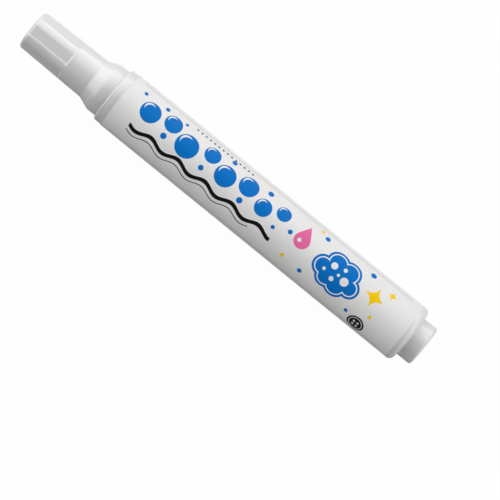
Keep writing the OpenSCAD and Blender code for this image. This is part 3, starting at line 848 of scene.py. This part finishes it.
# %% Rubber and fluid
BLOOM_MM, RUBBER_GRAIN_MM, RUBBER_RELIEF_MM, FLUID_STREAK_MM = 0.5, 0.15, 0.006, 6
RUBBER_ROUGHNESS, BLOOM_ROUGHNESS, FLUID_ROUGHNESS, STREAK_SPREAD = 0.55, 0.2, 0.02, 0.03
rubber = Finish("seal_rubber", Specular_IOR_Level=0.35)
bloom = rubber.noise(BLOOM_MM, 3.0)
rubber.set("Base Color", rubber.mix(bloom, (0.012, 0.012, 0.014), (0.03, 0.03, 0.034)))
rubber.set("Roughness", (RUBBER_ROUGHNESS + bloom * BLOOM_ROUGHNESS).clamp())
rubber.relief(rubber.noise(RUBBER_GRAIN_MM, 2.0), RUBBER_RELIEF_MM)

fluid = Finish("fluid", Transmission_Weight=0.9, IOR=1.33)
streaks = fluid.noise(FLUID_STREAK_MM, 2.0)
fluid.set("Base Color", fluid.mix(streaks, (0.80, 0.90, 0.96), (0.88, 0.95, 0.98)))
fluid.set("Roughness", (FLUID_ROUGHNESS + streaks * STREAK_SPREAD).clamp())
print("made", rubber.material.name, "and", fluid.material.name)

# %% [markdown]
# ## Pieces that stay as the CAD made them
# The seals, the foam, the valve parts and the fluid are hidden inside. They could be turned again here,
# but their CAD shapes are right as they are, so they only get finishes.

# %% Inner pieces
inner = {"absorber": foam.material, "valve_seal": rubber.material, "barrel_seal": rubber.material,
         "valve_stem": valve_plastic, "valve_cage": valve_plastic, "cleaning_fluid": fluid.material}
for node_name, material in inner.items():
    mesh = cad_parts[node_name].data
    mesh.materials.clear()
    mesh.materials.append(material)
    print(node_name, "has", material.name)

# %% [markdown]
# ## The label film
# The label is a thin film in the barrel's recess, lapped on itself at the back, where its upper end
# makes a low step. It could be a patch of the barrel's own material, but then it would have no edge to
# catch the light. So it is a piece with both its faces, and its ends leave a hair's breadth to the
# recess, which shows as a fine line round the barrel.

# %% Label film
LAP_AT, LAP_SETTLED, LAP_LIFT = math.radians(150), math.radians(164), 0.05
FILM_GAP, FILM_BELOW, FILM_ABOVE, OUTER_FACE = 0.02, 0.01, 0.005, 0.06


def lap(t, r, turn):
    """Lifts the film's outer face where its end lies over its start."""
    if r < BARREL_R - OUTER_FACE or turn < LAP_AT:
        return r
    return r + LAP_LIFT * (1 - ramp(turn, LAP_AT, LAP_SETTLED))


film_bottom, film_top = BARREL_R - LABEL_DEEP + FILM_ABOVE, BARREL_R - FILM_BELOW
film_from, film_to = LABEL_FROM + FILM_GAP, LABEL_TO - FILM_GAP
film_path = rounded([
    (film_from, film_bottom), (film_from, film_top, 0.03),
    (film_to, film_top, 0.03), (film_to, film_bottom)])
film_rows = [35 + 5 * i for i in range(20)]
label = lathe("printed_label", with_stations(film_path, film_rows), FINEST, lap, loop=True)
print("the film is", round(film_top - film_bottom, 3), "mm thick")

# %% [markdown]
# ## Places on the film
# The print is a generic picture of washing: a chain of blue bubbles over a dark water line, a pink drop,
# a blue foam cloud, yellow glints and a button. A picture file could be wrapped round the barrel, but it
# would blur up close, so the print is drawn by formulas. They need a ruler on the film: T is the station
# along it and U the length round it, both in millimetres, with U zero at the front.

# %% Places on the film
PAPER_MM, PAPER_STRETCH = 7, (3, 1, 1)
film = Finish("label_film", Specular_IOR_Level=0.12)
x, y, z = [film.node("SeparateXYZ", {}, {0: film.place}, axis) for axis in "XYZ"]
T = x / MM + HALF_LENGTH
U = (-y).angle_with(z - BARREL_R * MM) * BARREL_R
fibres = film.noise(PAPER_MM, 2.0, PAPER_STRETCH)
paper = film.mix(fibres, (0.88, 0.873, 0.866), (0.86, 0.853, 0.846))
print("the film is", round(2 * math.pi * BARREL_R, 1), "mm round")

# %% [markdown]
# ## Forms and inks
# Each form is drawn by a formula that is below zero inside it. For most forms it is the distance from
# the edge. Ink goes where the formula is below zero, so edges stay sharp at any size, and two forms join
# by taking the lower of their values. Every form becomes one layer in a list, a mask and its ink.

# %% Forms and inks
def reach(t0, u0):
    """The distance from a point of the film."""
    across, around = T - t0, U - u0
    return (across * across + around * around).root()


def between(value, low, high, soft=0.1):
    """1 where a value lies between two others."""
    return (abs(value - (low + high) / 2) - (high - low) / 2).inside(soft)


def line(value, middle, half):
    """1 within half of a middle value, so a line of twice that width."""
    return (abs(value - middle) - half).inside()


def bubbles(spots):
    """The distance from the edge of the nearest of several round spots (t, u, radius)."""
    nearest = None
    for t0, u0, r in spots:
        distance = reach(t0, u0) - r
        nearest = distance if nearest is None else nearest.lower(distance)
    return nearest


def tint(red, green, blue):
    """A screen's colour, from 0 to 255, as the renderer's linear numbers, by the sRGB formula."""
    parts = [v / 255 for v in (red, green, blue)]
    return tuple(v / 12.92 if v <= 0.04045 else ((v + 0.055) / 1.055) ** 2.4 for v in parts)


BLUE, PINK, YELLOW = tint(0, 116, 202), tint(236, 108, 166), tint(255, 210, 0)
BLACK, GREY, LINE = tint(14, 15, 17), tint(78, 80, 86), tint(176, 178, 184)
PANEL_LINE = tint(120, 160, 205)
layers = []
print("the blue ink is", [round(part, 3) for part in BLUE])

# %% [markdown]
# ## The chain of bubbles
# A big bubble is a blue disc with a bright crescent near its upper edge. A crescent could be two arcs
# joined at their ends, but as distances it is simpler: a small disc, less another one that is moved out
# a little less. The places could be drawn at random, but listed one by one they fill the label's front
# evenly.

# %% Big and small bubbles
BIG = [(40.6, -2.6, 3.1), (47.6, -4.2, 2.7), (54.2, -1.6, 3.5), (61.4, -4.4, 2.5), (67.6, -1.9, 3.2),
       (74.6, -3.9, 3.0), (81.2, -1.7, 2.6), (86.9, -4.1, 2.2)]
SMALL = [(43.8, -6.9, 0.7), (47.4, 0.3, 0.9), (50.6, -7.0, 0.5), (60.9, 0.6, 0.8), (67.4, -7.2, 0.8),
         (74.8, 0.9, 0.9), (80.6, -6.7, 0.9), (86.6, 0.8, 0.6), (91.2, -1.2, 0.7), (36.4, -6.4, 0.6)]
SHINE_OFF, SHINE_R, CUT_OFF, CUT_R = 0.28, 0.52, 0.08, 0.62


def moved_out(off, size):
    """The distance from smaller spots in the big bubbles, moved out by a share of their radius."""
    return bubbles([(t - off * r, u - off * r, size * r) for t, u, r in BIG])


big = bubbles(BIG)
shine, shine_cut = moved_out(SHINE_OFF, SHINE_R), moved_out(CUT_OFF, CUT_R)
layers += [(big.inside(), BLUE), (shine.higher(-shine_cut).inside(), paper)]
layers += [(bubbles(SMALL).inside(), BLUE)]
print(len(BIG), "big bubbles and", len(SMALL), "small ones")

# %% [markdown]
# ## Water line, dots and rules
# The water line is a band about a sine wave, with a thinner ripple below it. The dots could be a list of
# places like the bubbles, but a row repeats: the station is wrapped into one step, so one dot's formula
# draws them all.

# %% Water line, dots and rules
WATER_FROM, WATER_TO, RIPPLE_TO = 38, 88, 81
SWELL_LONG, SWELL_HIGH, END_SOFTNESS = 9.5, 0.75, 0.3
WATER_U, WATER_HALF, RIPPLE_U, RIPPLE_HALF = 3.7, 0.62, 5.5, 0.16
DOTS_FROM, DOTS_TO, DOT_STEP, DOT_U, DOT_R = 53, 74, 1.5, -8.3, 0.36
RULES_FROM, RULES_TO, RULE_HALF, TOP_RULE_U, LOW_RULE_U = 34.5, 129.5, 0.11, -9.8, 10.5
swell = ((T - WATER_FROM) * (2 * math.pi / SWELL_LONG)).sine() * SWELL_HIGH
water = line(U - swell, WATER_U, WATER_HALF) * between(T, WATER_FROM, WATER_TO, END_SOFTNESS)
ripple = line(U - swell, RIPPLE_U, RIPPLE_HALF) * between(T, WATER_FROM, RIPPLE_TO, END_SOFTNESS)
dot_t, dot_u = (T - DOTS_FROM).repeat(0.0, DOT_STEP) - DOT_STEP / 2, U - DOT_U
dot = (dot_t * dot_t + dot_u * dot_u).root() - DOT_R
dots = dot.inside() * between(T, DOTS_FROM, DOTS_TO)
rules = [line(U, u, RULE_HALF) * between(T, RULES_FROM, RULES_TO) for u in (TOP_RULE_U, LOW_RULE_U)]
layers += [(water, BLACK), (ripple, BLACK), (dots, GREY)] + [(rule, LINE) for rule in rules]
print("the dots are", DOT_STEP, "mm apart")

# %% [markdown]
# ## The pink drop
# A drop is a disc with a point. It could be a curve through a few points, but then its sides would
# bulge. Here two straight sides touch the disc, so their lean follows from the disc's radius and the
# point's distance. The wedge between them is kept only on the point's side of where they touch.

# %% Pink drop
DROP_T, DROP_TIP, DROP_MIDDLE, DROP_R = 95.2, -6.4, -1.4, 2.4
DROP_GLINT = (DROP_T - 0.7, DROP_MIDDLE + 0.3, 0.6)
lean = math.asin(DROP_R / (DROP_MIDDLE - DROP_TIP))
touching = DROP_TIP + (DROP_MIDDLE - DROP_TIP) * math.cos(lean) ** 2
wedge = (abs(T - DROP_T) - (U - DROP_TIP) * math.tan(lean)) * math.cos(lean)
drop = wedge.higher(U - touching).lower(reach(DROP_T, DROP_MIDDLE) - DROP_R)
layers += [(drop.inside(), PINK), (bubbles([DROP_GLINT]).inside(), paper)]
print("the drop's sides lean", round(math.degrees(lean), 1), "degrees")

# %% [markdown]
# ## The foam cloud
# Seven overlapping discs make one cloud. Its outline could be traced by hand, but the lower of the seven
# distances gives it at once. It also gives the pale line inside the edge for nothing, where the distance
# is near one value. A few round spots in the paper's colour stand for bubbles in the foam.

# %% Foam cloud and loose bubbles
CLOUD = [(108.7, -0.2, 4.5), (104.0, 0.2, 3.2), (107.0, -2.9, 3.5), (111.2, -2.6, 3.6), (113.6, 0.8, 3.0),
         (110.0, 2.3, 3.6), (106.4, 2.2, 3.2)]
FOAM = [(106.6, -1.7, 1.0), (109.8, -2.6, 0.6), (111.4, 0.2, 1.25), (108.0, 1.7, 0.7), (104.7, 0.7, 0.5),
        (109.0, -0.3, 0.45)]
LOOSE = [(100.6, -7.0, 0.8), (116.8, -7.2, 0.9), (99.8, 5.9, 0.7), (116.6, 6.4, 0.6)]
INLINE_AT, INLINE_HALF = -0.85, 0.17
cloud = bubbles(CLOUD)
layers += [(cloud.inside(), BLUE), (line(cloud, INLINE_AT, INLINE_HALF), paper)]
layers += [(bubbles(FOAM).inside(), paper), (bubbles(LOOSE).inside(), BLUE)]
print("the cloud is a union of", len(CLOUD), "discs")

# %% [markdown]
# ## Glints and a button
# A glint has four hollow sides. It could be cut from a square by four discs, but one formula does: the
# roots of the two distances add up to less than a limit. A small disc fills its waist. The button is a
# disc with a ring near its edge and four holes.

# %% Glints and button
GLINT_DOTS = [(98.4, -8.2, 0.6), (123, 3.4, 0.55), (93.4, 5.4, 0.6)]
BUTTON_T, BUTTON_U, BUTTON_R, RING_R, RING_HALF = 120.9, 8.2, 2.7, 2.05, 0.1
HOLE_OFF, HOLE_R, WAIST = 0.62, 0.36, 0.36


def glint(t0, u0, r):
    """Below zero inside a four-pointed glint, and above zero outside it."""
    spread = abs(T - t0).root() + abs(U - u0).root()
    return (spread * spread - r).lower(reach(t0, u0) - WAIST * r)


glints = glint(120.6, -1.8, 4.0).lower(glint(124.4, -5.6, 2.0))
layers += [(glints.inside(), YELLOW), (bubbles(GLINT_DOTS).inside(), YELLOW)]
button = reach(BUTTON_T, BUTTON_U)
hole_t = (BUTTON_T - HOLE_OFF, BUTTON_T + HOLE_OFF)
hole_u = (BUTTON_U - HOLE_OFF, BUTTON_U + HOLE_OFF)
holes = bubbles([(t, u, HOLE_R) for t in hole_t for u in hole_u])
layers += [((button - BUTTON_R).inside(), BLACK), (line(button, RING_R, RING_HALF), paper)]
layers += [(holes.inside(), paper)]
print("the button is", 2 * BUTTON_R, "mm across")

# %% [markdown]
# ## Ruled panels
# Two framed panels of fine rules fill the back of the label, which would be bare otherwise. They could
# be thin boxes on the film, but ink has no height. The distance from a panel's edge draws its frame, and
# also keeps the rules inside it.

# %% Ruled panels
PANEL_T, PANEL_HALF_T, PANELS = 82, 44, ((17.6, 4.2), (-18.2, 5.2))
RULE_STEP, THIN_HALF, FRAME_HALF, MARGIN = 1.4, 0.08, 0.13, 0.9
for middle, half in PANELS:
    edge = (abs(T - PANEL_T) - PANEL_HALF_T).higher(abs(U - middle) - half)
    ruled = line((U - middle).repeat(0.0, RULE_STEP), RULE_STEP / 2, THIN_HALF) * (edge + MARGIN).inside()
    layers += [(line(edge, 0, FRAME_HALF), PANEL_LINE), (ruled, LINE)]
print("two panels", 2 * PANEL_HALF_T, "mm long")

# %% [markdown]
# ## Ink on the film
# Inks are printed one after the other, and a later one covers an earlier one. Each could be a film of
# its own, but one mix for each layer over the paper does the same in one material. The film's gloss is a
# little rubbed along the pen, and the big bubbles' ink is slightly glossier than the paper.

# %% Ink on the film
FILM_RUB_MM, FILM_RUB_STRETCH, FILM_RUB_STRENGTH = 1.8, (5, 1, 1), 0.16
FILM_ROUGHNESS, INK_GLOSS = 0.45, 0.05
BUCKLE_MM, FILM_GRAIN_MM, FILM_GRAIN_SHARE, FILM_RELIEF_MM = 3.5, 0.3, 0.1, 0.008
colour = paper
for mask, ink in layers:
    colour = film.mix(mask, colour, ink)
film.set("Base Color", colour)
rubbed = (film.noise(FILM_RUB_MM, 3.0, FILM_RUB_STRETCH) - 0.5) * FILM_RUB_STRENGTH
film.set("Roughness", (FILM_ROUGHNESS + rubbed - big.inside() * INK_GLOSS).clamp())
buckles = film.noise(BUCKLE_MM, 2.0, PAPER_STRETCH)
film.relief(buckles + film.noise(FILM_GRAIN_MM, 1.0) * FILM_GRAIN_SHARE, FILM_RELIEF_MM)
dress(label, "pen", "label_film", film.material, "label")
print(len(layers), "layers of print from", len(film.tree.nodes), "nodes")

# %% [markdown]
# ## The floor
# The pen lies on a plain floor that the camera sees as white. Lamps could light it until it is white,
# but they would flood the pen too. So a ray from the camera sees pale paint almost covered by white
# emission, with only a faint shadow left, and light that bounces meets grey paint, which keeps the pen's
# shaded side in shade. Photographers also put white and dark cards round glossy things to shape their
# sheen. That is done here without cards: a reflected ray sees white beyond the pen, towards +Y, and
# mostly grey paint on the near side.

# %% Floor
FLOOR_HALF, FLOOR_DROP, WHITE_SHARE = 6.0, 0.00002, 0.97
NEAR_CARD, CARD_EDGE = 0.12, 0.02
GREY_PAINT, MOTTLE_MM = (0.32, 0.32, 0.32), 400


def seen_directly(net, beyond):
    """The share of plain white that a ray sees: all of it from the camera and through glass. A reflected ray
    sees all of it where beyond is 1, as from a white card, and NEAR_CARD of it where beyond is 0."""
    kinds = ("Camera", "Glossy", "Transmission")
    direct, reflected, through = [net.node("LightPath", {}, {}, f"Is {kind} Ray") for kind in kinds]
    card = beyond.clamp() * (1 - NEAR_CARD) + NEAR_CARD
    return direct.higher(reflected * card).higher(through)


floor_mesh = bpy.data.meshes.new("floor")
signs = ((-1, -1), (1, -1), (1, 1), (-1, 1))
floor_corners = [(a * FLOOR_HALF, b * FLOOR_HALF, -FLOOR_DROP) for a, b in signs]
floor_mesh.from_pydata(floor_corners, [], [(0, 1, 2, 3)])
floor = bpy.data.objects.new("floor", floor_mesh)
bpy.context.scene.collection.objects.link(floor)

ground = Finish("pale_floor", Roughness=0.9, Specular_IOR_Level=0.1)
pale = ground.mix(ground.noise(MOTTLE_MM, 2.0), (0.94, 0.94, 0.94), (0.92, 0.92, 0.92))
behind_pen = ground.node("SeparateXYZ", {}, {0: ground.place}, "Y") / CARD_EDGE
plain = seen_directly(ground, behind_pen)
ground.set("Base Color", ground.mix(plain, GREY_PAINT, pale))
plain_white = ground.node("Emission", {}, {"Color": (1.0, 1.0, 1.0), "Strength": 1.0})
painted = Field(ground, ground.shader.outputs[0])
shown = ground.node("MixShader", {}, {0: plain * WHITE_SHARE, 1: painted, 2: plain_white})
ground.feed(ground.tree.nodes["Material Output"].inputs["Surface"], shown)
floor_mesh.materials.append(ground.material)
print("the floor is", 2 * FLOOR_HALF, "m across")

# %% [markdown]
# ## The world
# The world gives a little even light from all round, so that no shadow is black. A sky picture could do
# it, but it would tint the white plastic. The camera sees plain white, and a reflected ray sees white on
# the far side and little light on the near side, as with the floor.

# %% World
FILL, SKY_EDGE = 0.03, 1.5
world = bpy.data.worlds.new("studio")
world.use_nodes = True
bpy.context.scene.world = world
sky = Net(world.node_tree, "Generated")
far_side = sky.node("SeparateXYZ", {}, {0: sky.place}, "Y") * SKY_EDGE
fill = sky.node("Background", {}, {"Color": (0.97, 0.98, 1.0), "Strength": FILL})
white = sky.node("Background", {}, {"Color": (1.0, 1.0, 1.0), "Strength": 1.0})
backdrop = sky.node("MixShader", {}, {0: seen_directly(sky, far_side), 1: fill, 2: white})
sky.feed(world.node_tree.nodes["World Output"].inputs["Surface"], backdrop)
print("the fill light has strength", FILL)

# %% [markdown]
# ## The camera
# The camera looks almost straight down through a long lens, so both ends of the pen look alike in size.
# It could be placed by trial, but the picture's scale, the pen's slope in it and the place of the pen's
# middle are known. The camera's turn, its distance and its aim follow from them, with the picture taken
# to be 500 pixels wide.

# %% Camera
PHOTO_SLOPE, ELEVATION, FIELD = math.radians(39.1), math.radians(89), math.radians(7)
MM_PER_PIXEL, FRAME_PX, FARTHEST = 0.2774, 500, 20
PEN_PX, PEN_PY = 227.9, 187.8
azimuth = math.atan(math.tan(PHOTO_SLOPE) / math.sin(ELEVATION))
level = math.cos(ELEVATION)
back = Vector((math.sin(azimuth) * level, -math.cos(azimuth) * level, math.sin(ELEVATION)))
right = Vector((math.cos(azimuth), math.sin(azimuth), 0))
up = back.cross(right)
lens = bpy.data.cameras.new("lens")
lens.angle = FIELD
lens.clip_end = FARTHEST
camera = bpy.data.objects.new("camera", lens)
bpy.context.scene.collection.objects.link(camera)
bpy.context.scene.camera = camera
aim = Vector((0, 0, BARREL_R * MM))
aim += (right * (FRAME_PX / 2 - PEN_PX) - up * (FRAME_PX / 2 - PEN_PY)) * MM_PER_PIXEL * MM
distance = FRAME_PX * MM_PER_PIXEL * MM / 2 / math.tan(FIELD / 2)
camera.location = aim + back * distance
camera.rotation_euler = Matrix((right, up, back)).transposed().to_euler()
print("camera azimuth", round(math.degrees(azimuth), 2), "distance", round(distance, 3))

# %% [markdown]
# ## The lamps
# The pen's upper side in the picture is bright and its lower side falls off into shade. One small lamp
# could do that, but with a hard edge, and satin plastic shows the shape of its lamps. So all are large
# and soft. The key lamp stands beyond the pen, half way up, and a low one near it lights the far edge. A
# lamp at each end and a weak one above lift the front, and together they stay below the light that burns
# out white.

# %% Lamps
def softbox(name, direction, size, power, distance=0.9):
    """A soft lamp that faces the pen from a direction, with its length along the pen."""
    lamp = bpy.data.lights.new(name, "AREA")
    lamp.shape = "RECTANGLE"
    lamp.size, lamp.size_y, lamp.energy = size[0], size[1], power
    box = bpy.data.objects.new(name, lamp)
    bpy.context.scene.collection.objects.link(box)
    towards = Vector(direction).normalized()
    box.location = towards * distance
    box.rotation_euler = towards.to_track_quat("Z", "Y").to_euler()
    print(name, [round(v, 2) for v in box.location], power, "W")


softbox("top_lamp", (0, -0.1, 1), (1.6, 1.2), 1.3)
softbox("key_lamp", (-0.45, 1, 0.9), (1.4, 0.9), 3.35)
softbox("side_lamp", (-0.3, 1, 0.15), (1.4, 0.28), 3.0)
softbox("cap_end_lamp", (-1, -0.1, 0.6), (1.6, 0.8), 7.2, 1.0)
softbox("tail_lamp", (1, 0.1, 0.45), (1.6, 0.8), 7.4, 1.0)

# %% View transform
scene = bpy.context.scene
scene.view_settings.view_transform = "Standard"
